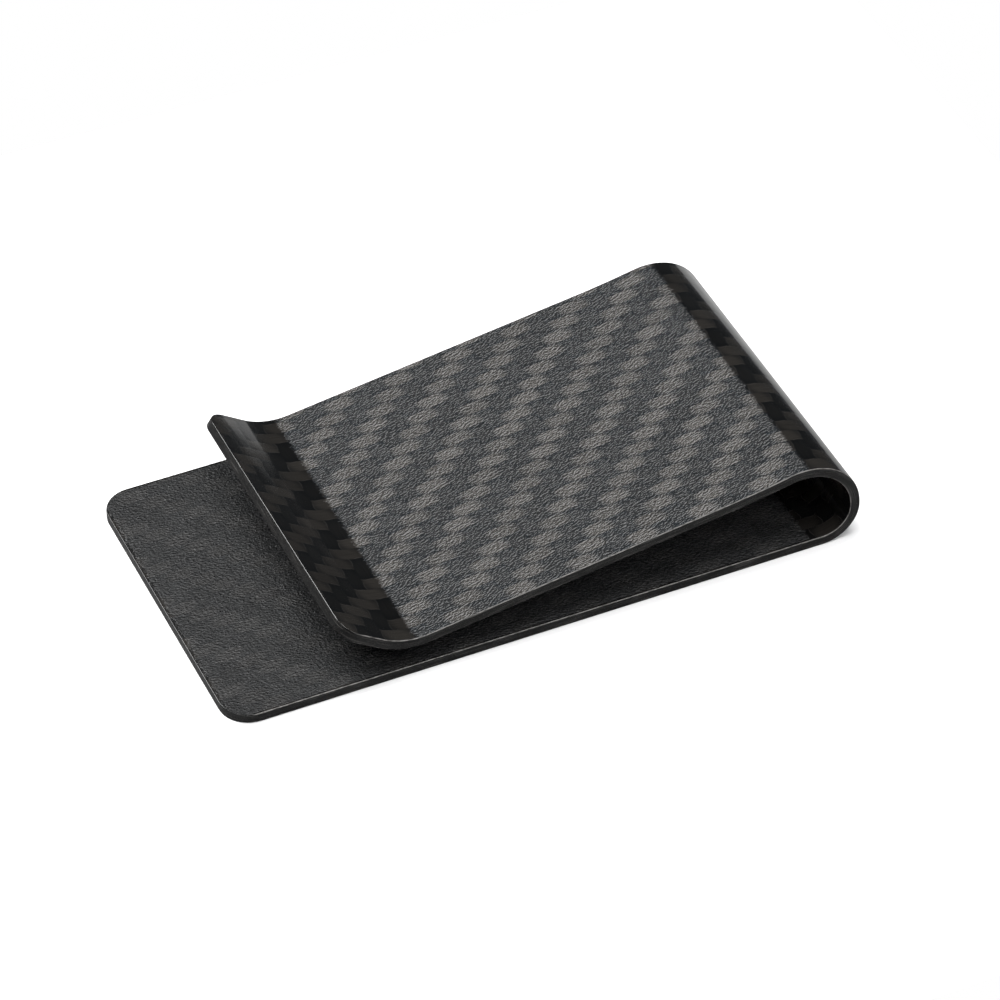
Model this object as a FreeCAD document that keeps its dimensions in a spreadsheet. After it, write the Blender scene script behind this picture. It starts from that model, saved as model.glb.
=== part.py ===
import FreeCAD, Part
import math
import os
from collections import namedtuple
import Sketcher

# Money clip: one strip of carbon-fibre laminate, moulded round a mandrel into a spring.
# A flat base leaf runs into a U-shaped spring bend, and the bend into a grip leaf whose
# free end turns up as a lip.  Each ply of the laminate is a solid of its own in each of
# the three zones: 2 x 2 twill cloth on both faces, unidirectional plies between them.
#
# Frame: +X towards the bend, +Y across the clip, +Z up.  The origin is the middle of the
# footprint, on the underside of the base leaf.

SIZES = {
    "clip_width": 37.5,         # across the clip
    "clip_length": 71.2,        # from the base leaf's tip to the outside of the bend
    "face_ply": 0.22,           # twill cloth, on both faces
    "core_ply": 0.132,          # unidirectional ply
    "heel_radius": 4.2,         # outside of the bend's lower quarter
    "crown_radius": 6.95,       # outside of the bend's upper part
    "crown_sweep": 102.6,       # degrees that the upper part turns through
    "neck_radius": 90.0,        # outer face of the long soft reverse curve behind the bend
    "neck_sweep": 4.25,         # degrees
    "grip_length": 34.5,        # straight stretch of the grip leaf
    "lip_radius": 7.35,         # outer face of the curve that turns the lip up
    "lip_sweep": 41.8,          # degrees
    "lip_length": 5.1,          # straight stretch of the lip
    "tip_corner_radius": 3.35,  # corners of the base leaf's tip
    "lip_corner_radius": 2.3,   # corners of the lip
    "edge_round": 0.1,          # free edges of both faces
}
HEEL_SWEEP = 90.0               # the bend's lower quarter, from flat to upright

# The layup, from the outer face to the inner face.
LAYUP = [
    ("outer_twill_ply", "face_ply"),
    ("core_ply_1_lengthwise", "core_ply"),
    ("core_ply_2_crosswise", "core_ply"),
    ("core_ply_3_lengthwise", "core_ply"),
    ("core_ply_4_crosswise", "core_ply"),
    ("core_ply_5_lengthwise", "core_ply"),
    ("inner_twill_ply", "face_ply"),
]

# The strip's line from the base leaf to the lip.  Each stretch turns as one walks along it:
# +1 to the left, about a centre inside the clip, -1 to the right, 0 straight.
Stretch = namedtuple("Stretch", "name turn size sweep")
STRETCHES = [
    Stretch("heel", +1, "heel_radius", None),
    Stretch("crown", +1, "crown_radius", "crown_sweep"),
    Stretch("neck", -1, "neck_radius", "neck_sweep"),
    Stretch("grip", 0, "grip_length", None),
    Stretch("lip_curve", -1, "lip_radius", "lip_sweep"),
    Stretch("lip", 0, "lip_length", None),
]
BEND_ZONE = ["heel", "crown", "neck"]
GRIP_ZONE = ["grip", "lip_curve", "lip"]

START, END, CENTRE = 1, 2, 3    # a sketch curve's points
ORIGIN = (-1, 1)                # a sketch's own origin point
TOUCH = 1e-4                    # mm, for telling whether an edge lies on a face


def sizes_sheet(doc):
    """The spreadsheet of driving dimensions: a name, and its number with the name as alias."""
    sheet = doc.addObject("Spreadsheet::Sheet", "sizes")
    for row, (name, value) in enumerate(SIZES.items(), start=1):
        sheet.set(f"A{row}", name)
        sheet.set(f"B{row}", str(value))
        sheet.setAlias(f"B{row}", name)
    doc.recompute()
    return sheet


def depth_rule(plies):
    """The expression for how far below the outer face that many plies reach."""
    return " + ".join(["0 * sizes.face_ply"] + [f"sizes.{size}" for _, size in LAYUP[:plies]])


def depth_of(sheet, plies):
    """The same depth as a number."""
    return sum(getattr(sheet, size) for _, size in LAYUP[:plies])


def face_depth(sheet, ply):
    """How deep the face of the clip that a twill ply shows lies: the outer one or the inner one."""
    return 0.0 if ply == 0 else depth_of(sheet, len(LAYUP))


def new_body(doc, label):
    body = doc.addObject("PartDesign::Body", label)
    body.Label = label
    return body


def new_sketch(body, name, role):
    """A sketch on one of the body's own origin planes."""
    sketch = body.newObject("Sketcher::SketchObject", name)
    planes = [feature for feature in body.Origin.OriginFeatures if feature.Role == role]
    sketch.AttachmentSupport = (planes[0], [""])
    sketch.MapMode = "FlatFace"
    return sketch


def bind(sketch, name, constraint, rule):
    """Adds a named dimension to a sketch and ties it to the sheet."""
    index = sketch.addConstraint(constraint)
    sketch.renameConstraint(index, name)
    sketch.setExpression(f"Constraints.{name}", rule)


def pad(body, sketch, rule, side_type):
    feature = body.newObject("PartDesign::Pad", "Pad")
    feature.Profile = sketch
    feature.SideType = side_type
    feature.setExpression("Length", rule)
    body.Document.recompute()


def round_edges(body, wanted, rule):
    """Fillets the edges of the body so far that wanted() picks."""
    solid = body.Tip
    names = [f"Edge{i}" for i, edge in enumerate(solid.Shape.Edges, start=1) if wanted(edge)]
    feature = body.newObject("PartDesign::Fillet", "Fillet")
    feature.Base = (solid, names)
    feature.setExpression("Radius", rule)
    body.Document.recompute()


# --- the base leaf: flat plies -----------------------------------------------------------


def draw_outline(sketch, sheet):
    """A rectangle from the tip to where the bend begins, centred on the X axis."""
    tip = -sheet.clip_length / 2
    heel = sheet.clip_length / 2 - sheet.heel_radius
    half = sheet.clip_width / 2
    places = [(tip, -half), (heel, -half), (heel, half), (tip, half)]
    corners = [FreeCAD.Vector(x, y, 0) for x, y in places]
    for i, corner in enumerate(corners):
        sketch.addGeometry(Part.LineSegment(corner, corners[(i + 1) % 4]))
    for i, direction in enumerate(["Horizontal", "Vertical", "Horizontal", "Vertical"]):
        sketch.addConstraint(Sketcher.Constraint("Coincident", i, END, (i + 1) % 4, START))
        sketch.addConstraint(Sketcher.Constraint(direction, i))
    near_tip, near_heel, far_heel = (0, START), (0, END), (2, START)
    bind(sketch, "tip", Sketcher.Constraint("DistanceX", *near_tip, *ORIGIN, -tip),
         "sizes.clip_length / 2")
    bind(sketch, "near_side", Sketcher.Constraint("DistanceY", *near_tip, *ORIGIN, half),
         "sizes.clip_width / 2")
    bind(sketch, "heel", Sketcher.Constraint("DistanceX", *ORIGIN, *near_heel, heel),
         "sizes.clip_length / 2 - sizes.heel_radius")
    bind(sketch, "far_side", Sketcher.Constraint("DistanceY", *ORIGIN, *far_heel, half),
         "sizes.clip_width / 2")


def flat_ply(doc, sheet, ply):
    """One ply of the base leaf, with the tip's two corners rounded."""
    name, thickness = LAYUP[ply]
    body = new_body(doc, f"base_leaf_{name}")
    sketch = new_sketch(body, "Outline", "XY_Plane")
    sketch.setExpression("AttachmentOffset.Base.z", depth_rule(ply))
    draw_outline(sketch, sheet)
    pad(body, sketch, f"sizes.{thickness}", "One side")
    tip = -sheet.clip_length / 2
    heel = sheet.clip_length / 2 - sheet.heel_radius

    def tip_corner(edge):
        upright = edge.BoundBox.ZLength > TOUCH
        return upright and abs(edge.CenterOfMass.x - tip) < TOUCH

    round_edges(body, tip_corner, "sizes.tip_corner_radius")
    if thickness == "face_ply":
        face = face_depth(sheet, ply)

        def free_edge(edge):
            box = edge.BoundBox
            on_face = max(abs(box.ZMin - face), abs(box.ZMax - face)) < TOUCH
            return on_face and box.XMin < heel - TOUCH

        round_edges(body, free_edge, "sizes.edge_round")
    return body


# --- the bend and the grip leaf: curved plies --------------------------------------------


def walk(sheet, depth):
    """Each stretch with its curve at a depth below the outer face, and the curve's first and
    last point as one walks.  A sketch's arcs run anticlockwise, so a turn to the right is
    walked from its end to its start."""
    heading = 0.0
    x = sheet.clip_length / 2 - sheet.heel_radius
    z = depth
    for stretch in STRETCHES:
        size = getattr(sheet, stretch.size)
        if stretch.turn == 0:
            end_x = x + size * math.cos(heading)
            end_z = z + size * math.sin(heading)
            curve = Part.LineSegment(FreeCAD.Vector(x, z, 0), FreeCAD.Vector(end_x, end_z, 0))
            first, last = START, END
        else:
            turned = stretch.turn * (size - stretch.turn * depth)
            sweep = getattr(sheet, stretch.sweep) if stretch.sweep else HEEL_SWEEP
            leaving = heading + stretch.turn * math.radians(sweep)
            centre = FreeCAD.Vector(x - turned * math.sin(heading), z + turned * math.cos(heading), 0)
            end_x = centre.x + turned * math.sin(leaving)
            end_z = centre.y - turned * math.cos(leaving)
            angles = sorted(angle - stretch.turn * math.pi / 2 for angle in (heading, leaving))
            circle = Part.Circle(centre, FreeCAD.Vector(0, 0, 1), abs(turned))
            curve = Part.ArcOfCircle(circle, *angles)
            first, last = (START, END) if stretch.turn > 0 else (END, START)
            heading = leaving
        yield stretch, curve, first, last
        x, z = end_x, end_z


def draw_line(sketch, sheet, side, plies, zone):
    """Draws the strip's line below that many plies.  Stretches outside the zone are only
    construction.  Returns each stretch's first and last point."""
    ends = {}
    before = None
    for stretch, curve, first, last in walk(sheet, depth_of(sheet, plies)):
        i = sketch.addGeometry(curve, stretch.name not in zone)
        label = f"{side}_{stretch.name}"
        if before is None:
            across, up = curve.Center.x, curve.Center.y
            bind(sketch, f"{label}_across",
                 Sketcher.Constraint("DistanceX", *ORIGIN, i, CENTRE, across),
                 "sizes.clip_length / 2 - sizes.heel_radius")
            bind(sketch, f"{label}_up",
                 Sketcher.Constraint("DistanceY", *ORIGIN, i, CENTRE, up),
                 "sizes.heel_radius")
            sketch.addConstraint(Sketcher.Constraint("Vertical", i, CENTRE, i, first))
            sketch.addConstraint(Sketcher.Constraint("Horizontal", i, CENTRE, i, last))
        else:
            sketch.addConstraint(Sketcher.Constraint("Tangent", *before, i, first))
        if stretch.turn == 0:
            bind(sketch, f"{label}_length", Sketcher.Constraint("Distance", i, curve.length()),
                 f"sizes.{stretch.size}")
        else:
            sign = "-" if stretch.turn > 0 else "+"
            bind(sketch, f"{label}_radius", Sketcher.Constraint("Radius", i, curve.Radius),
                 f"sizes.{stretch.size} {sign} ({depth_rule(plies)})")
        if stretch.sweep:
            sweep = math.radians(getattr(sheet, stretch.sweep))
            bind(sketch, f"{label}_sweep", Sketcher.Constraint("Angle", i, sweep),
                 f"sizes.{stretch.sweep} * 1 deg")
        before = (i, last)
        ends[stretch.name] = ((i, first), before)
    return ends


def draw_cap(sketch, outer_point, inner_point):
    """The straight cut through a ply's thickness at one end of its zone."""
    i = sketch.addGeometry(Part.LineSegment(sketch.getPoint(*outer_point), sketch.getPoint(*inner_point)))
    sketch.addConstraint(Sketcher.Constraint("Coincident", i, START, *outer_point))
    sketch.addConstraint(Sketcher.Constraint("Coincident", i, END, *inner_point))


def curved_ply(doc, sheet, zone_name, zone, ply):
    """One ply of the bend or of the grip leaf: its section, padded both ways from the middle."""
    name, thickness = LAYUP[ply]
    body = new_body(doc, f"{zone_name}_{name}")
    sketch = new_sketch(body, "Section", "XZ_Plane")
    outer = draw_line(sketch, sheet, "outer", ply, zone)
    inner = draw_line(sketch, sheet, "inner", ply + 1, zone)
    draw_cap(sketch, outer[zone[0]][0], inner[zone[0]][0])
    draw_cap(sketch, outer[zone[-1]][1], inner[zone[-1]][1])
    pad(body, sketch, "sizes.clip_width", "Symmetric")
    if zone is GRIP_ZONE:
        round_lip_corners(body, sheet)
    if thickness == "face_ply":
        round_curved_face(body, sheet, face_depth(sheet, ply))
    return body


def beyond_lip(sheet, point):
    """How far a point lies beyond the lip's end face, measured the way the lip points."""
    *_, (_, lip, _, _) = walk(sheet, 0.0)
    end = FreeCAD.Vector(lip.EndPoint.x, 0, lip.EndPoint.y)
    start = FreeCAD.Vector(lip.StartPoint.x, 0, lip.StartPoint.y)
    return (point - end).dot((end - start).normalize())


def round_lip_corners(body, sheet):
    def lip_corner(edge):
        through = edge.BoundBox.YLength < TOUCH
        return through and abs(beyond_lip(sheet, edge.CenterOfMass)) < TOUCH

    round_edges(body, lip_corner, "sizes.lip_corner_radius")


def round_curved_face(body, sheet, depth):
    """Rounds the free edges of the face that shows, but not the seams between the zones."""
    line = Part.Wire([curve.toShape() for _, curve, _, _ in walk(sheet, depth)])

    def shows(point):
        return line.distToShape(Part.Vertex(point.x, point.z, 0))[0] < TOUCH

    def free_edge(edge):
        across = max(edge.BoundBox.XLength, edge.BoundBox.ZLength) < TOUCH
        if across and abs(beyond_lip(sheet, edge.CenterOfMass)) > TOUCH:
            return False
        return all(shows(point) for point in edge.discretize(5))

    round_edges(body, free_edge, "sizes.edge_round")


def main():
    doc = FreeCAD.newDocument("money_clip")
    sheet = sizes_sheet(doc)
    plies = range(len(LAYUP))
    bodies = [flat_ply(doc, sheet, ply) for ply in plies]
    bodies += [curved_ply(doc, sheet, "spring_bend", BEND_ZONE, ply) for ply in plies]
    bodies += [curved_ply(doc, sheet, "grip_leaf", GRIP_ZONE, ply) for ply in plies]
    doc.recompute()
    for thing in doc.Objects:
        if "Invalid" in thing.State or "Error" in thing.State:
            raise RuntimeError(f"{thing.Name} did not build: {thing.State}")
    for body in bodies:
        if body.Shape.isNull() or not body.Shape.isValid() or len(body.Shape.Solids) != 1:
            raise RuntimeError(f"{body.Label} is not one sound solid")
    os.makedirs("parts", exist_ok=True)
    for body in bodies:
        body.Shape.exportStep(f"parts/{body.Label}.step")
        print(f"{body.Label}: {body.Shape.Volume:.3f} mm3")


main()
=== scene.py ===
"""Looks of the carbon-fibre money clip: its shaped plies, their finishes, and a plain studio."""

import math

import bmesh
import bpy
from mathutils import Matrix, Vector


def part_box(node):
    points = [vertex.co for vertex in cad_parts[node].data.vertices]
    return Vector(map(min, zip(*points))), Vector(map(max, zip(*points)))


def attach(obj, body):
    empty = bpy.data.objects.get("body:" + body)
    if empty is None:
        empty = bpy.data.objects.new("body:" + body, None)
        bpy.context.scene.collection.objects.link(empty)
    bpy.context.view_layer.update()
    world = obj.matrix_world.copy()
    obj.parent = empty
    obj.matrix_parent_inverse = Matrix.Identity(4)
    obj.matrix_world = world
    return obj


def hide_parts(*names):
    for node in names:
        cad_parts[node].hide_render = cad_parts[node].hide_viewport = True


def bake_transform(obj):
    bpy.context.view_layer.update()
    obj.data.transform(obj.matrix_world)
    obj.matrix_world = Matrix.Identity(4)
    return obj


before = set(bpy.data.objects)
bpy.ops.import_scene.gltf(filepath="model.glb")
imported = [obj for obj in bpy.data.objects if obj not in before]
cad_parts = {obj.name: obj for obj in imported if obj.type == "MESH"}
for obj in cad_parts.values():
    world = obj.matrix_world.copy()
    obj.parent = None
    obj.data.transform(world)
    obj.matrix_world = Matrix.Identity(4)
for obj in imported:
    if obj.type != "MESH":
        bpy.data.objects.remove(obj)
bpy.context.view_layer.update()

MM = 0.001

# ---------------------------------------------------------------------------------------------
# Sizes.  Those that a node's box can give are read from the frame; the bend's angles, the grip's
# length and the lip repeat the design.
# ---------------------------------------------------------------------------------------------

BASE_LOW, BASE_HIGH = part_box("base_leaf_outer_twill_ply")
INNER_LOW, INNER_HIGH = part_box("base_leaf_inner_twill_ply")
BEND_LOW, BEND_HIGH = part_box("spring_bend_outer_twill_ply")

HALF_WIDTH = BASE_HIGH.y
BASE_LENGTH = BASE_HIGH.x - BASE_LOW.x
THICKNESS = INNER_HIGH.z
HEEL_RADIUS = BEND_HIGH.x - BASE_HIGH.x
CROWN_RADIUS = BEND_HIGH.z - HEEL_RADIUS
NECK_RADIUS = 90.0 * MM
GRIP_LENGTH = 34.5 * MM
LIP_RADIUS = 7.35 * MM
LIP_LENGTH = 5.1 * MM
HEEL_SWEEP = math.radians(90.0)
CROWN_SWEEP = math.radians(102.6)
NECK_SWEEP = math.radians(4.25)
LIP_SWEEP = math.radians(41.8)
TIP_CORNER = 3.35 * MM
LIP_CORNER = 2.3 * MM
CORNER_STEPS = 10
EDGE_ROUND = 0.1 * MM
EDGE_STEPS = 4

NEAR = 0.004 * MM                   # two places closer than this are the same place
AT_END = 1e-3                       # a share of a stretch this close to 0 or 1 is at its end
CREASE = math.radians(50)           # an edge is cut, and gets rounded, if it turns at least so much
SMOOTH_BELOW = math.radians(40)     # shading runs on over turns of less than this

# The strip from the base leaf's tip to the lip's end: name, turn (+1 upwards and over, as the bend
# goes, 0 straight, -1 the other way), length or radius of the outer face, sweep, and steps.
STRETCHES = [
    ("base", 0, BASE_LENGTH, 0.0, 1),
    ("heel", +1, HEEL_RADIUS, HEEL_SWEEP, 40),
    ("crown", +1, CROWN_RADIUS, CROWN_SWEEP, 48),
    ("neck", -1, NECK_RADIUS, NECK_SWEEP, 6),
    ("grip", 0, GRIP_LENGTH, 0.0, 1),
    ("lip_curve", -1, LIP_RADIUS, LIP_SWEEP, 24),
    ("lip", 0, LIP_LENGTH, 0.0, 1),
]
ZONES = {
    "base_leaf": ["base"],
    "spring_bend": ["heel", "crown", "neck"],
    "grip_leaf": ["grip", "lip_curve", "lip"],
}
# Where a zone meets the next one: a stretch, and its start, 0, or its end, 1.
SEAMS = {
    "base_leaf": {("base", 1)},
    "spring_bend": {("heel", 0), ("neck", 1)},
    "grip_leaf": {("grip", 0)},
}
# The layup from the outer face to the inner one, as the frame's nodes are named.
LAYUP = [
    "outer_twill_ply",
    "core_ply_1_lengthwise",
    "core_ply_2_crosswise",
    "core_ply_3_lengthwise",
    "core_ply_4_crosswise",
    "core_ply_5_lengthwise",
    "inner_twill_ply",
]
FLAT_FACES, CUT_SIDES, CUT_ENDS = range(3)      # a piece's material slots


# ---------------------------------------------------------------------------------------------
# The strip's line
# ---------------------------------------------------------------------------------------------


def heading_vector(heading):
    return Vector((math.cos(heading), 0, math.sin(heading)))


def inward(heading):
    """From the outer face straight through the laminate to the inner face."""
    return Vector((-math.sin(heading), 0, math.cos(heading)))


def stations():
    """Where each stretch of the outer face starts, its heading there, and where it ends."""
    place = Vector((BASE_LOW.x, 0, 0))
    heading = 0.0
    found = {}
    for name, turn, size, sweep, steps in STRETCHES:
        entry = {"start": place, "heading": heading, "turn": turn, "size": size, "sweep": sweep,
                 "steps": steps}
        if turn == 0:
            place = place + heading_vector(heading) * size
        else:
            entry["centre"] = place + inward(heading) * size * turn
            heading += turn * sweep
            place = entry["centre"] - inward(heading) * size * turn
        found[name] = entry
    return found


STRIP = stations()


def length_of(stretch, depth):
    """A stretch's length at a depth below the outer face."""
    if stretch["turn"] == 0:
        return stretch["size"]
    return (stretch["size"] - stretch["turn"] * depth) * stretch["sweep"]


def walked(point, names):
    """For a point of the strip: its stretch, the share of the stretch walked, and its depth."""
    best = None
    for name in names:
        stretch = STRIP[name]
        turn, size = stretch["turn"], stretch["size"]
        if turn == 0:
            way = point - stretch["start"]
            share = way.dot(heading_vector(stretch["heading"])) / size
            depth = way.dot(inward(stretch["heading"]))
        else:
            arm = point - stretch["centre"]
            turned = turn * (math.atan2(turn * arm.x, -turn * arm.z) - stretch["heading"])
            turned = (turned + math.pi) % (2 * math.pi) - math.pi
            share = turned / stretch["sweep"]
            depth = turn * (size - math.hypot(arm.x, arm.z))
        miss = max(0.0, -share, share - 1) + max(0.0, -depth, depth - THICKNESS) / THICKNESS
        if best is None or miss < best[0]:
            best = (miss, name, min(max(share, 0.0), 1.0), depth)
    return best[1:]


def length_to(name, share, depth):
    """How far along the strip a place is from the base leaf's tip, on the face at that depth."""
    total = 0.0
    for other, stretch in STRIP.items():
        if other == name:
            return total + share * length_of(stretch, depth)
        total += length_of(stretch, depth)
    raise KeyError(name)


# ---------------------------------------------------------------------------------------------
# Modelling by hand: select, extrude, spin, bevel
# ---------------------------------------------------------------------------------------------


def deselect_all():
    if bpy.context.mode != "OBJECT":
        bpy.ops.object.mode_set(mode="OBJECT")
    bpy.ops.object.select_all(action="DESELECT")


def select_edges(piece, wanted):
    """Selects just the edges that wanted(edge) picks, and says how many they are."""
    mesh = bmesh.from_edit_mesh(piece.data)
    bpy.ops.mesh.select_mode(type="EDGE")
    bpy.ops.mesh.select_all(action="DESELECT")
    picked = [edge for edge in mesh.edges if wanted(edge)]
    for edge in picked:
        edge.select_set(True)
    mesh.select_flush_mode()
    bmesh.update_edit_mesh(piece.data)
    return len(picked)


def section(name, first, low, high):
    """The cut through a ply at the start of a stretch, as a flat face ready to be swept."""
    stretch = STRIP[first]
    middle = stretch["start"] + inward(stretch["heading"]) * (low + high) / 2
    deselect_all()
    bpy.ops.mesh.primitive_plane_add(size=1, location=middle,
                                     rotation=(0, -math.pi / 2 - stretch["heading"], 0))
    piece = bpy.context.object
    piece.name = name
    piece.scale = (high - low, 2 * HALF_WIDTH, 1)
    bpy.ops.object.transform_apply(location=True, rotation=True, scale=True)
    return piece


def sweep(stretch):
    """Carries the selected face along a stretch: straight by extruding, round by spinning."""
    if stretch["turn"] == 0:
        move = heading_vector(stretch["heading"]) * stretch["size"]
        bpy.ops.mesh.extrude_region_move(TRANSFORM_OT_translate={"value": move})
    else:
        bpy.ops.mesh.spin(steps=stretch["steps"], angle=stretch["turn"] * stretch["sweep"],
                          center=stretch["centre"], axis=(0, 1, 0))


def round_corners(piece, names, share, radius):
    """Rounds the strip's two corners at one end, through the ply's thickness."""

    def corner(edge):
        a, b = (vertex.co for vertex in edge.verts)
        if abs(a.y - b.y) > NEAR or abs(abs(a.y) - HALF_WIDTH) > NEAR:
            return False
        ends = [walked(point, names) for point in (a, b)]
        return all(name == names[-1 if share else 0] and abs(walked_share - share) < AT_END
                   for name, walked_share, _ in ends)

    if select_edges(piece, corner):
        bpy.ops.mesh.bevel(offset=radius, offset_type="OFFSET", segments=CORNER_STEPS, affect="EDGES")


def round_free_edges(piece, names, depth, seams):
    """Rounds the edges of the face at that depth, apart from the seams to the other zones."""

    def on_face(point):
        name, share, deep = walked(point, names)
        return name, share, abs(deep - depth) < NEAR

    def free(edge):
        if len(edge.link_faces) != 2 or edge.calc_face_angle() < CREASE:
            return False
        ends = [on_face(vertex.co) for vertex in edge.verts]
        if not all(flat for _, _, flat in ends):
            return False
        at_seam = all((name, round(share)) in seams and abs(share - round(share)) < AT_END
                      for name, share, _ in ends)
        return not at_seam

    select_edges(piece, free)
    bpy.ops.mesh.bevel(offset=EDGE_ROUND, offset_type="OFFSET", segments=EDGE_STEPS, affect="EDGES")


def shown_slot(face, heading):
    """Which slot a face takes: it is square to the laminate, or a cut side, or a cut end."""
    if abs(face.normal.dot(inward(heading))) > 0.35:
        return FLAT_FACES
    if abs(face.normal.y) > 0.6:
        return CUT_SIDES
    return CUT_ENDS


def unwrap(piece, names, face_depth):
    """Lays the piece's UV map out in metres: along the strip, and across it.  On the cut edges it
    is along the cut and through the thickness.  Each face gets its material slot as well."""
    mesh = piece.data
    layer = mesh.uv_layers.new(name="strip")
    for face in mesh.polygons:
        stretch_name, share, _ = walked(face.center, names)
        stretch = STRIP[stretch_name]
        heading = stretch["heading"] + share * stretch["turn"] * stretch["sweep"]
        face.material_index = shown_slot(face, heading)
        for corner in face.loop_indices:
            point = mesh.vertices[mesh.loops[corner].vertex_index].co
            name, share, depth = walked(point, names)
            along = length_to(name, share, face_depth)
            if face.material_index == FLAT_FACES:
                layer.data[corner].uv = (along, point.y)
            elif face.material_index == CUT_SIDES:
                layer.data[corner].uv = (along, depth)
            else:
                layer.data[corner].uv = (point.y, depth)


def piece_name(zone, ply_name):
    """A woven ply is a cloth, and a unidirectional one is a tape."""
    if "twill" in ply_name:
        return f"{zone}_{ply_name.removesuffix('_ply')}_cloth"
    return f"{zone}_{ply_name}_tape"


def make_ply(zone, ply, depths):
    """One ply of one zone: its section swept along the zone's stretches and finished."""
    names = ZONES[zone]
    low, high = depths
    outermost, innermost = ply == 0, ply == len(LAYUP) - 1
    piece = section(piece_name(zone, LAYUP[ply]), names[0], low, high)
    bpy.ops.object.mode_set(mode="EDIT")
    bpy.ops.mesh.select_all(action="SELECT")
    for name in names:
        sweep(STRIP[name])
    bpy.ops.mesh.select_all(action="SELECT")
    bpy.ops.mesh.remove_doubles(threshold=NEAR / 10)
    bpy.ops.mesh.normals_make_consistent(inside=False)
    if zone == "base_leaf":
        round_corners(piece, names, 0, TIP_CORNER)
    if zone == "grip_leaf":
        round_corners(piece, names, 1, LIP_CORNER)
    if outermost or innermost:
        round_free_edges(piece, names, low if outermost else high, SEAMS[zone])
    bpy.ops.object.mode_set(mode="OBJECT")
    bpy.ops.object.shade_smooth_by_angle(angle=SMOOTH_BELOW)
    unwrap(piece, names, high if innermost else low)
    return piece


# ---------------------------------------------------------------------------------------------
# Finishes
# ---------------------------------------------------------------------------------------------

# Patterns are given by the length and the width of their marks on the strip.
TOW_ALONG = 1.740 * MM              # spacing, along the strip, of the tows that run across it
TOW_ACROSS = 1.670 * MM             # spacing, across the strip, of the tows that run along it
WEAVE_SHIFT_ALONG = 0.96            # where the cloth was cut, in tows
WEAVE_SHIFT_ACROSS = 0.17
TOW_SWAY = 0.3 * MM                 # how far the tows wander off a straight line
SWAYS_PER_METRE = 160.0
FIBRE_LENGTH, FIBRE_WIDTH = 3.0 * MM, 0.07 * MM

GRAIN_SLANT = math.radians(12)
RIDGE = (0.42 * MM, 0.20 * MM)
WRINKLE = (0.24 * MM, 0.13 * MM)    # finer than a ridge and mixed in with it
SPECK = (0.16 * MM, 0.11 * MM)
PAINTED_LIGHT_STEP = (-0.03 * MM, -0.10 * MM, 0.0)   # a small step towards the strip's near side, from which the painted light on the grain falls
GRAIN_DEPTH = 0.35 * MM
WEAVE_DEPTH = 0.03 * MM

# Marks that break up the painted highlight on the strip's rounded side edges.
EDGE_HIGHLIGHT_BREAKUP = (0.7 * MM, 0.2 * MM)
MATT_FADE = 0.35 * MM               # half the width of the fade from matt to gloss along the strip
MATT_RAGGED = 0.9 * MM              # how far that border wanders
MATT_SIDE_FADE = 0.1 * MM


class Graph:
    """Short ways to add nodes to a tree and wire them up as they are made."""

    def __init__(self, tree):
        self.tree = tree

    def add(self, kind, inputs=None, **settings):
        node = self.tree.nodes.new(kind)
        for name, value in settings.items():
            setattr(node, name, value)
        for key, value in (inputs or {}).items():
            self.feed(node.inputs[key], value)
        return node

    def feed(self, socket, value):
        if isinstance(value, bpy.types.NodeSocket):
            self.tree.links.new(value, socket)
        else:
            socket.default_value = value

    def math(self, operation, *values):
        node = self.add("ShaderNodeMath", operation=operation)
        for socket, value in zip(node.inputs, values):
            self.feed(socket, value)
        return node.outputs[0]

    def plus(self, a, b):
        return self.math("ADD", a, b)

    def minus(self, a, b):
        return self.math("SUBTRACT", a, b)

    def times(self, a, b):
        return self.math("MULTIPLY", a, b)

    def ramp(self, value, low, high, to_low=0.0, to_high=1.0):
        """A soft step: to_low up to low, to_high from high on."""
        node = self.add("ShaderNodeMapRange", interpolation_type="SMOOTHSTEP",
                        inputs={"Value": value, "From Min": low, "From Max": high,
                                "To Min": to_low, "To Max": to_high})
        return node.outputs["Result"]

    def mix(self, node, sockets, values):
        for number, value in zip(sockets, values):
            self.feed(node.inputs[number], value)

    def blend(self, factor, a, b):
        """From number a to number b."""
        node = self.add("ShaderNodeMix", data_type="FLOAT")
        self.mix(node, (0, 2, 3), (factor, a, b))
        return node.outputs[0]

    def tint(self, factor, a, b, how="MIX"):
        """From colour a to colour b, or b laid over a in another way."""
        node = self.add("ShaderNodeMix", data_type="RGBA", blend_type=how)
        self.mix(node, (0, 6, 7), (factor, a, b))
        return node.outputs[2]

    def shaded(self, colour, amount):
        """A colour made paler or darker by a number."""
        return self.tint(1.0, colour, self.vector(amount, amount, amount), how="MULTIPLY")

    def vector(self, x, y, z):
        return self.add("ShaderNodeCombineXYZ", inputs={"X": x, "Y": y, "Z": z}).outputs[0]

    def parts(self, vector):
        return self.add("ShaderNodeSeparateXYZ", inputs={0: vector}).outputs

    def random(self, x, y, z):
        """A number from 0 to 1 that is the same wherever x, y and z are."""
        node = self.add("ShaderNodeTexWhiteNoise", noise_dimensions="3D",
                        inputs={"Vector": self.vector(x, y, z)})
        return node.outputs["Value"]

    def marks(self, place, size, turn=0.0, detail=2.0, roughness=0.5, distortion=0.0):
        """Noise from 0 to 1 whose marks have a length and a width, turned on the map."""
        along, across = size
        turned = self.add("ShaderNodeMapping", inputs={"Vector": place, "Rotation": (0, 0, turn)})
        scaled = self.add("ShaderNodeMapping",
                          inputs={"Vector": turned.outputs[0], "Scale": (1 / along, 1 / across, 1)})
        node = self.add("ShaderNodeTexNoise",
                        inputs={"Vector": scaled.outputs[0], "Scale": 1.0, "Detail": detail,
                                "Roughness": roughness, "Distortion": distortion})
        return node.outputs["Fac"]

    def bump(self, strength, distance, height, normal=None):
        node = self.add("ShaderNodeBump",
                        inputs={"Strength": strength, "Distance": distance, "Height": height})
        if normal is not None:
            self.feed(node.inputs["Normal"], normal)
        return node.outputs[0]


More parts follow.
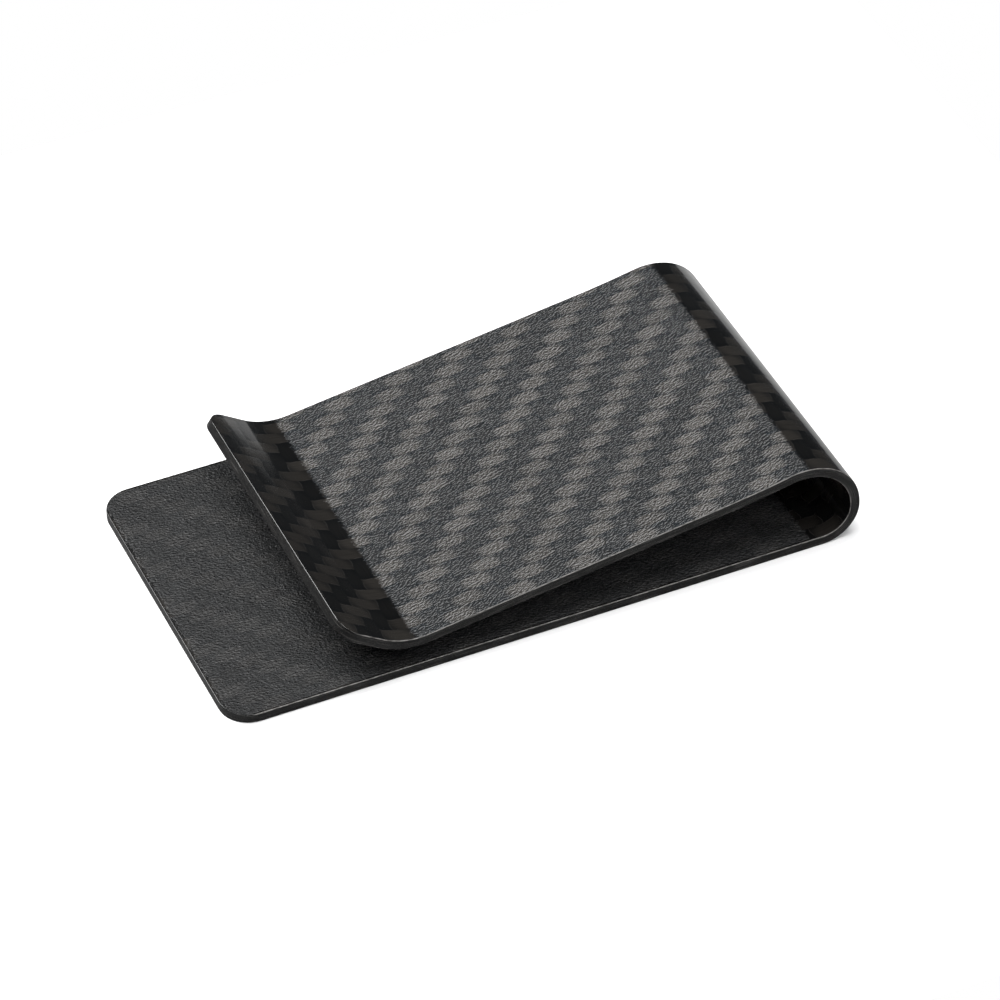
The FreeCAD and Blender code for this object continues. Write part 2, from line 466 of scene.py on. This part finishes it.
def new_group(name, inputs, outputs):
    """An empty node group with a map as its first input, number inputs given as name: default, and
    number outputs given as names."""
    tree = bpy.data.node_groups.new(name, "ShaderNodeTree")
    tree.interface.new_socket("Map", in_out="INPUT", socket_type="NodeSocketVector")
    for key, value in inputs.items():
        socket = tree.interface.new_socket(key, in_out="INPUT", socket_type="NodeSocketFloat")
        socket.default_value = value
    for key in outputs:
        tree.interface.new_socket(key, in_out="OUTPUT", socket_type="NodeSocketFloat")
    graph = Graph(tree)
    return graph, graph.add("NodeGroupInput").outputs, graph.add("NodeGroupOutput").inputs


def twill_group():
    """2 x 2 twill on a map in metres: each tow passes over two and under two, and each row is
    shifted by one.  Lengthwise is 1 where a tow along the strip lies on top, Lead is how much the
    top tow leads over the other one, Tone differs from float to float, Strand runs with the fibres
    of the top tow, Height is the cloth's relief, and Sheen_patch is a soft lozenge of painted sheen
    on each float, 1 on those along the strip and fainter on those across it."""
    graph, given, out = new_group(
        "twill_2x2", {}, ["Lengthwise", "Lead", "Tone", "Strand", "Height", "Sheen_patch"])
    wander = graph.add("ShaderNodeTexNoise",
                       inputs={"Vector": given["Map"], "Scale": SWAYS_PER_METRE, "Detail": 1.0})
    sway = graph.add("ShaderNodeVectorMath", operation="MULTIPLY_ADD",
                     inputs={0: wander.outputs["Color"], 1: (TOW_SWAY,) * 3, 2: given["Map"]})
    place = graph.parts(sway.outputs[0])
    # The wandering noise averages a half, which is taken off again.
    along = graph.math("MULTIPLY_ADD", place["X"], 1 / TOW_ALONG,
                       WEAVE_SHIFT_ALONG - 0.5 * TOW_SWAY / TOW_ALONG)
    across = graph.math("MULTIPLY_ADD", place["Y"], 1 / TOW_ACROSS,
                        WEAVE_SHIFT_ACROSS - 0.5 * TOW_SWAY / TOW_ACROSS)
    column, row = graph.math("FLOOR", along), graph.math("FLOOR", across)

    def wave(phase):
        """+1 where a tow is highest, -1 where it is lowest: it goes up and down once in 4 tows."""
        return graph.math("COSINE", graph.math("MULTIPLY_ADD", phase, math.pi / 2, -math.pi / 2))

    def undulation(position, tow):
        """A tow's wave along its length, and its count of floats."""
        phase = graph.plus(position, tow)
        return wave(phase), graph.math("FLOOR", graph.math("DIVIDE", phase, 4.0))

    def crown(position):
        """A tow's own rounded section: 1 in its middle, 0 at its sides."""
        off_middle = graph.math("MULTIPLY_ADD", graph.math("FRACT", position), 2.0, -1.0)
        return graph.minus(1.0, graph.math("POWER", graph.math("ABSOLUTE", off_middle), 2.5))

    long_wave, long_count = undulation(along, row)
    cross_wave, cross_count = undulation(across, column)
    long_height = graph.plus(long_wave, crown(across))
    cross_height = graph.minus(crown(along), cross_wave)
    lead = graph.minus(long_height, cross_height)
    lengthwise = graph.ramp(lead, -0.12, 0.12)
    long_tone = graph.random(long_count, row, 3.0)
    cross_tone = graph.random(cross_count, column, 8.0)
    long_strand = graph.marks(given["Map"], (FIBRE_LENGTH, FIBRE_WIDTH))
    cross_strand = graph.marks(given["Map"], (FIBRE_WIDTH, FIBRE_LENGTH))

    # A float's painted sheen leans: it starts a little later on one side of its tow than on the other.
    lean = 0.35
    leaning = graph.math("MULTIPLY_ADD", graph.math("FRACT", across), -lean, graph.plus(along, row))
    long_sheen = graph.plus(wave(graph.plus(leaning, lean / 2)), graph.times(crown(across), 0.35))
    cross_sheen = graph.minus(graph.times(crown(along), 0.55), cross_wave)
    float_sheen = graph.math("MAXIMUM", graph.ramp(long_sheen, 0.0, 1.15),
                       graph.ramp(cross_sheen, 0.5, 1.5, 0.0, 0.22))

    graph.feed(out["Lengthwise"], lengthwise)
    graph.feed(out["Lead"], graph.math("ABSOLUTE", lead))
    graph.feed(out["Tone"], graph.blend(lengthwise, cross_tone, long_tone))
    graph.feed(out["Strand"], graph.blend(lengthwise, cross_strand, long_strand))
    graph.feed(out["Height"], graph.math("MAXIMUM", long_height, cross_height))
    graph.feed(out["Sheen_patch"], float_sheen)
    return graph.tree


def grain_group():
    """The fine wrinkled grain of a matt flat: short ridges lying a little aslant, with specks.
    Slope is how far the skin stands above the skin a step nearer, so it is over 0 on
    the near side of a ridge and under 0 on its far side; it places the painted light and the
    painted shade on the ridges."""
    graph, given, out = new_group("wrinkled_grain", {}, ["Height", "Slope", "Speck"])

    def skin(place):
        ridges = graph.marks(place, RIDGE, GRAIN_SLANT, detail=1.0, roughness=0.6, distortion=0.25)
        wrinkles = graph.marks(place, WRINKLE, GRAIN_SLANT, detail=1.0, roughness=0.6)
        return graph.blend(0.4, ridges, wrinkles)

    beside = graph.add("ShaderNodeVectorMath", operation="ADD", inputs={0: given["Map"], 1: PAINTED_LIGHT_STEP})
    height = skin(given["Map"])
    specks = graph.marks(given["Map"], SPECK, GRAIN_SLANT, detail=1.0)
    graph.feed(out["Height"], height)
    graph.feed(out["Slope"], graph.minus(height, skin(beside.outputs[0])))
    graph.feed(out["Speck"], graph.ramp(specks, 0.62, 0.76))
    return graph.tree


def painted_edge_highlight_group():
    """1 on the rounded side edges of the strip, where a painted highlight makes the skin paler, broken
    up a little.
    """
    graph, given, out = new_group("painted_edge_highlight", {}, ["Worn"])
    from_side = graph.minus(HALF_WIDTH, graph.math("ABSOLUTE", graph.parts(given["Map"])["Y"]))
    near = graph.ramp(from_side, 0.06 * MM, 0.15 * MM, 1.0, 0.0)
    highlight_breakup = graph.marks(given["Map"], EDGE_HIGHLIGHT_BREAKUP, roughness=0.6)
    graph.feed(out["Worn"], graph.times(near, graph.ramp(highlight_breakup, 0.35, 0.6, 0.35, 1.0)))
    return graph.tree


def matt_stretch_group():
    """1 between two lengths along the strip and further than a margin from its sides, 0 elsewhere,
    with soft and slightly ragged borders."""
    graph, given, out = new_group("matt_stretch", {"From": 0.0, "To": 1.0, "Margin": 0.0}, ["Inside"])
    place = graph.parts(given["Map"])
    ragged = graph.marks(given["Map"], (0.5 * MM, 0.5 * MM))
    along = graph.math("MULTIPLY_ADD", graph.minus(ragged, 0.5), MATT_RAGGED, place["X"])
    after = graph.ramp(graph.minus(along, given["From"]), -MATT_FADE, MATT_FADE)
    before = graph.ramp(graph.minus(given["To"], along), -MATT_FADE, MATT_FADE)
    from_side = graph.minus(HALF_WIDTH, graph.math("ABSOLUTE", place["Y"]))
    inside = graph.ramp(graph.minus(from_side, given["Margin"]), -MATT_SIDE_FADE, MATT_SIDE_FADE)
    graph.feed(out["Inside"], graph.times(graph.times(after, before), inside))
    return graph.tree


TWILL = twill_group()
GRAIN = grain_group()
MATT_STRETCH = matt_stretch_group()
PAINTED_EDGE_HIGHLIGHT = painted_edge_highlight_group()


def new_material(name):
    """A material, its graph and its shader."""
    material = bpy.data.materials.new(name)
    material.use_nodes = True
    return material, Graph(material.node_tree), material.node_tree.nodes["Principled BSDF"]


def strip_map(graph):
    return graph.add("ShaderNodeUVMap", uv_map="strip").outputs["UV"]


def add_group(graph, tree, **inputs):
    node = graph.add("ShaderNodeGroup", node_tree=tree)
    for name, value in inputs.items():
        graph.feed(node.inputs[name], value)
    return node.outputs


def grey(value, warm=0.0):
    """A grey, or with a share of warmth a brownish one; a negative share makes it bluish."""
    return (value * (1 + warm), value, value * (1 - warm), 1.0)


GLOSS_LONG_SHEEN = grey(0.011, 0.11)      # tows along the strip, seen deep in the resin, brown with painted sheen
GLOSS_CROSS = grey(0.003, -0.05)    # tows across it, black without that painted sheen
GLOSS_RIM = grey(0.030, 0.08)       # where one tow dives under another
# painted highlight on the strip's rounded side edges
EDGE_HIGHLIGHT_TONE = grey(0.16, 0.04)
# painted highlight on the lit near side of the grain's ridges
RIDGE_HIGHLIGHT_TONE = grey(0.26, 0.0)
PALE_FIBRE = grey(0.11, 0.05)
OUTER_SHEEN_TONES = (grey(0.046, 0.07), grey(0.005, -0.40))   # a matt face's pale patches of painted sheen, and the darker carbon between them
INNER_SHEEN_TONES = (grey(0.016, 0.02), grey(0.010, -0.04))


def matt_mask(graph, uv, stretches, margin):
    """1 on any of the stretches, each given by where it starts and ends."""
    masks = [add_group(graph, MATT_STRETCH, Map=uv, From=start, To=end, Margin=margin)["Inside"]
             for start, end in stretches]
    mask = masks[0]
    for other in masks[1:]:
        mask = graph.math("MAXIMUM", mask, other)
    return mask


def cloth_colour(graph, cloth, grain, matt, tones, ridge_highlight_share):
    """Glossy: brown and black tows with a pale rim, the brown a painted sheen on tows along the strip.
    Matt: pale patches of painted sheen on blue-black, each ridge of the grain paler with painted
    light and painted highlights on its near side, and darker with painted shade on its far side."""
    # Painted sheen: the sheen patches, and tows along the strip, get the brown tone; tows across it
    # stay black.
    deep = graph.blend(0.35, cloth["Sheen_patch"], cloth["Lengthwise"])
    gloss = graph.tint(deep, GLOSS_CROSS, GLOSS_LONG_SHEEN)
    rim = graph.ramp(cloth["Lead"], 0.0, 0.25, 0.4, 0.0)
    gloss = graph.tint(rim, gloss, GLOSS_RIM)
    # On matt stretches: pale patches of painted sheen over darker carbon.
    patches, between = tones
    tone = graph.tint(matt, gloss, graph.tint(cloth["Sheen_patch"], between, patches))

    strands = graph.math("MULTIPLY_ADD", cloth["Strand"], 1.0, 0.5)
    # Painted light and painted shade: each ridge of the grain paler on its near side, darker on its far
    # side.
    ridges = graph.ramp(grain["Slope"], -0.07, 0.07, 0.20, 1.80)
    float_shade = graph.math("MULTIPLY_ADD", cloth["Tone"], 0.4, 0.8)
    tone = graph.shaded(tone, graph.times(float_shade, graph.blend(matt, strands, ridges)))

    # Painted highlights on the lit near side of the grain's ridges, stronger on the sheen patches.
    ridge_highlights = graph.times(graph.ramp(grain["Slope"], 0.05, 0.10), matt)
    share = graph.ramp(cloth["Sheen_patch"], 0.0, 1.0, 0.7 * ridge_highlight_share, ridge_highlight_share)
    return graph.tint(graph.times(ridge_highlights, share), tone, RIDGE_HIGHLIGHT_TONE)


def cloth_material(name, tones, ridge_highlight_share, specular, coat, matt_stretches, margin):
    """Twill under clear resin: glossy and deep, but matt and grained on the given stretches."""
    material, graph, shader = new_material(name)
    uv = strip_map(graph)
    cloth = add_group(graph, TWILL, Map=uv)
    grain = add_group(graph, GRAIN, Map=uv)
    matt = matt_mask(graph, uv, matt_stretches, margin)
    edge_highlight = add_group(graph, PAINTED_EDGE_HIGHLIGHT, Map=uv)["Worn"]

    colour = cloth_colour(graph, cloth, grain, matt, tones, ridge_highlight_share)
    # The rounded side edges get a painted highlight.
    graph.feed(shader.inputs["Base Color"], graph.tint(edge_highlight, colour, EDGE_HIGHLIGHT_TONE))
    ridge_rough = graph.ramp(grain["Height"], 0.38, 0.66, 0.55, 0.28)
    matt_rough = graph.math("MULTIPLY_ADD", grain["Speck"], -0.12, ridge_rough)
    graph.feed(shader.inputs["Roughness"], graph.blend(matt, 0.20, matt_rough))
    graph.feed(shader.inputs["Coat Weight"], graph.blend(matt, coat, 0.0))
    shader.inputs["Coat Roughness"].default_value = 0.06
    shader.inputs["Specular IOR Level"].default_value = specular

    # The grain's height is centred first, so that it leaves no step where the matt stretch ends.
    relief = graph.bump(0.25, WEAVE_DEPTH, cloth["Height"])
    ridges = graph.times(graph.minus(grain["Height"], 0.5), matt)
    graph.feed(shader.inputs["Normal"], graph.bump(1.0, GRAIN_DEPTH, ridges, relief))
    return material


def cut_edge_material(name, tone, marks):
    """A cut and sanded edge of a ply, with marks of the given size: long ones where the fibres run
    along the cut, and specks, the fibres' ends, where they meet it."""
    material, graph, shader = new_material(name)
    uv = strip_map(graph)
    pattern = graph.marks(uv, marks, roughness=0.6)
    patches = graph.marks(uv, (2.2 * MM, 0.8 * MM))
    shade = graph.math("MULTIPLY_ADD", graph.ramp(pattern, 0.35, 0.72), 2.4, 0.2)
    shade = graph.times(shade, graph.math("MULTIPLY_ADD", patches, 0.6, 0.7))
    pale = graph.ramp(pattern, 0.56, 0.66, 0.0, 0.6)
    colour = graph.tint(pale, graph.shaded(grey(tone), shade), PALE_FIBRE)
    graph.feed(shader.inputs["Base Color"], colour)
    graph.feed(shader.inputs["Roughness"], graph.ramp(pattern, 0.2, 0.8, 0.38, 0.6))
    shader.inputs["Specular IOR Level"].default_value = 0.15
    graph.feed(shader.inputs["Normal"], graph.bump(0.4, 0.01 * MM, pattern))
    return material


# Where a face is matt, from and to, along the strip.
BASE_MATT = (0.5 * MM, 65.5 * MM)
GRIP_MATT_OUTER = (83.93 * MM, 128.77 * MM)
GRIP_MATT_INNER = (82.0 * MM, 125.0 * MM)

OUTER_CLOTH = cloth_material("twill_outer_face", OUTER_SHEEN_TONES, ridge_highlight_share=0.55, specular=0.12, coat=0.5,
                             matt_stretches=[BASE_MATT, GRIP_MATT_OUTER], margin=0.0)
INNER_CLOTH = cloth_material("twill_inner_face", INNER_SHEEN_TONES, ridge_highlight_share=0.1, specular=0.2, coat=0.1,
                             matt_stretches=[BASE_MATT, GRIP_MATT_INNER], margin=0.3 * MM)
STREAKS = cut_edge_material("cut_edge_streaks", 0.006, marks=(4.0 * MM, 0.045 * MM))
FIBRE_ENDS = cut_edge_material("cut_edge_fibre_ends", 0.004, marks=(0.09 * MM, 0.06 * MM))


# ---------------------------------------------------------------------------------------------
# The clip
# ---------------------------------------------------------------------------------------------


def dress(piece, ply):
    """Gives the slots of unwrap their materials: the flat faces, the cut sides, the cut ends."""
    flat = INNER_CLOTH if ply == len(LAYUP) - 1 else OUTER_CLOTH
    side, end = STREAKS, FIBRE_ENDS
    if LAYUP[ply].endswith("crosswise"):
        side, end = end, side
    for material in (flat, side, end):
        piece.data.materials.append(material)


def bend_over(piece):
    """Bakes the piece's placement into its mesh; the bend stays as it was modelled."""
    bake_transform(piece)


for ply_number, ply_name in enumerate(LAYUP):
    ply_low, ply_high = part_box(f"base_leaf_{ply_name}")
    for zone_name in ZONES:
        ply_piece = make_ply(zone_name, ply_number, (ply_low.z, ply_high.z))
        dress(ply_piece, ply_number)
        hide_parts(f"{zone_name}_{ply_name}")
        if zone_name == "spring_bend":
            bend_over(ply_piece)
        else:
            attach(ply_piece, "grip" if zone_name == "grip_leaf" else "base")


# ---------------------------------------------------------------------------------------------
# Studio: a plain pale floor, soft light, and the camera
# ---------------------------------------------------------------------------------------------

FLOOR_SIZE = 0.16
FLOOR_GAP = 0.01 * MM               # keeps the floor and the base leaf's underside apart
FLOOR_TONE, MIRRORED_FLOOR_TONE = grey(0.90), grey(0.30)
BACKDROP, AMBIENT = (1.0, 1.0, 1.0, 1.0), (0.05, 0.055, 0.06, 1.0)

SENSOR = 36.0                       # millimetres, as the lens
LENS = 170.87
CAMERA_AZIMUTH, CAMERA_ELEVATION = -24.59, 41.67
CAMERA_DISTANCE = 503.6 * MM
CAMERA_TARGET = Vector((3.53, 1.73, 0.0)) * MM


def make_floor():
    """White, but in the clip's glossy reflections no paler than a grey table."""
    deselect_all()
    bpy.ops.mesh.primitive_plane_add(size=FLOOR_SIZE, location=(0, 0, -FLOOR_GAP))
    floor = bpy.context.object
    floor.name = "studio_floor"
    material, graph, shader = new_material("pale_floor")
    mirrored = graph.add("ShaderNodeLightPath").outputs["Is Glossy Ray"]
    graph.feed(shader.inputs["Base Color"], graph.tint(mirrored, FLOOR_TONE, MIRRORED_FLOOR_TONE))
    shader.inputs["Roughness"].default_value = 0.7
    floor.data.materials.append(material)


def make_world():
    """A white backdrop to the camera, and a faint bluish light to everything else."""
    world = bpy.data.worlds.new("studio")
    world.use_nodes = True
    graph = Graph(world.node_tree)
    background = world.node_tree.nodes["Background"]
    seen = graph.add("ShaderNodeLightPath").outputs["Is Camera Ray"]
    graph.feed(background.inputs["Color"], graph.tint(seen, AMBIENT, BACKDROP))
    bpy.context.scene.world = world


def direction(azimuth, elevation):
    """Degrees to a direction from the clip: azimuth 0 is the front, 90 the right."""
    a, e = math.radians(azimuth), math.radians(elevation)
    return Vector((math.sin(a) * math.cos(e), -math.cos(a) * math.cos(e), math.sin(e)))


def place_in_scene(thing, target, way, distance):
    """Puts a lamp or a camera at a distance from the target, looking back at it."""
    thing.location = target + way * distance
    thing.rotation_euler = way.to_track_quat("Z", "Y").to_euler()
    bpy.context.scene.collection.objects.link(thing)


def add_softbox(name, power, size, azimuth, elevation, distance):
    """A square area light that looks at the clip: watts, metres, degrees, metres."""
    light = bpy.data.lights.new(name, "AREA")
    light.energy = power
    light.size = size
    softbox = bpy.data.objects.new(name, light)
    softbox.visible_camera = False
    place_in_scene(softbox, Vector(), direction(azimuth, elevation), distance)


def make_camera():
    """A long lens, high and to the left of the clip's near side."""
    data = bpy.data.cameras.new("camera")
    data.sensor_width = SENSOR
    data.lens = LENS
    data.clip_start = 0.01
    data.clip_end = 20.0
    camera = bpy.data.objects.new("camera", data)
    place_in_scene(camera, CAMERA_TARGET, direction(CAMERA_AZIMUTH, CAMERA_ELEVATION), CAMERA_DISTANCE)
    bpy.context.scene.camera = camera


make_floor()
make_world()
make_camera()
bpy.context.scene.view_settings.view_transform = "Standard"     # keeps black carbon black
add_softbox("overhead_softbox", 12.5, 0.6, 0, 85, 1.1)
add_softbox("rear_left_key", 10.0, 0.40, 210, 45, 0.8)
add_softbox("front_right_fill", 0.12, 0.07, 25, 43, 0.18)
